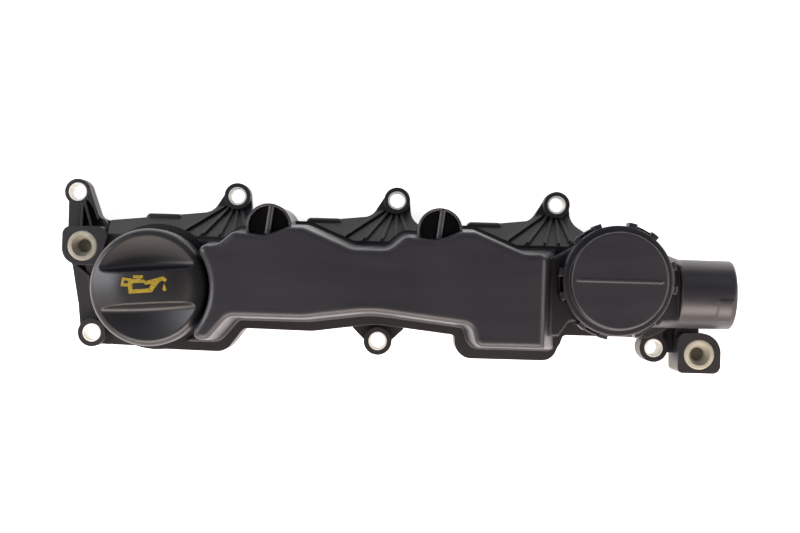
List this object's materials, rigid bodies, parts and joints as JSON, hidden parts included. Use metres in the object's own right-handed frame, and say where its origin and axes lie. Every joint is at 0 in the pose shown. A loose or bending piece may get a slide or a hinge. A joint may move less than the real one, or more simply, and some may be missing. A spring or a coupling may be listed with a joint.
{
  "type": "engine valve cover",
  "caption": "Plastic engine valve cover with a built-in oil separator, quarter-turn filler cap, pressure regulator and breather outlet.",
  "frame": {"origin": "middle of the row of four rear bolt holes, on the sealing face", "axes": "+X along the engine towards the breather outlet, +Y towards the rear bolt row, +Z away from the cylinder head"},
  "size_m": [0.3626, 0.0966, 0.067],
  "materials": {
    "body_plastic": "moulded satin black",
    "dome_plastic": "fine grained black",
    "cap_plastic": "moulded satin black",
    "lid_plastic": "fine grained black",
    "inner_plastic": "natural black moulding",
    "grommet_plastic": "cream moulded",
    "black_rubber": "moulded rubber",
    "sleeve_steel": "zinc plated",
    "spring_steel": "drawn wire"
  },
  "bodies": {
    "cover": {"cover_body": "body_plastic", "separator_cover": "dome_plastic", "regulator_lid": "lid_plastic", "regulator_diaphragm": "black_rubber", "regulator_spring": "spring_steel", "cover_gasket": "black_rubber", "separator_tray": "inner_plastic", "splash_baffle": "inner_plastic", "grommet_left": "grommet_plastic", "grommet_right": "grommet_plastic", "drain_valve_1": "black_rubber", "drain_valve_2": "black_rubber", "bolt_sleeve_1": "sleeve_steel", "bolt_sleeve_2": "sleeve_steel", "bolt_sleeve_3": "sleeve_steel", "bolt_sleeve_4": "sleeve_steel", "bolt_sleeve_5": "sleeve_steel", "bolt_sleeve_6": "sleeve_steel", "bolt_sleeve_7": "sleeve_steel"},
    "cap": {"filler_cap": "cap_plastic", "filler_cap_seal": "black_rubber"},
    "plate": {"regulator_plate": "inner_plastic"}
  },
  "joints": [
    {"name": "cap_turn", "type": "hinge", "parent": "cover", "child": "cap", "pos_m": [-0.084, -0.0508, 0.05], "axis": [0, 0, 1], "range_deg": [0, 90]},
    {"name": "regulator_travel", "type": "slide", "parent": "cover", "child": "plate", "axis": [0, 0, 1], "range_m": [-0.0037, 0], "stiffness_N_per_m": 300, "springref_m": 0.003, "deforming": ["regulator_spring", "regulator_diaphragm"]}
  ]
}
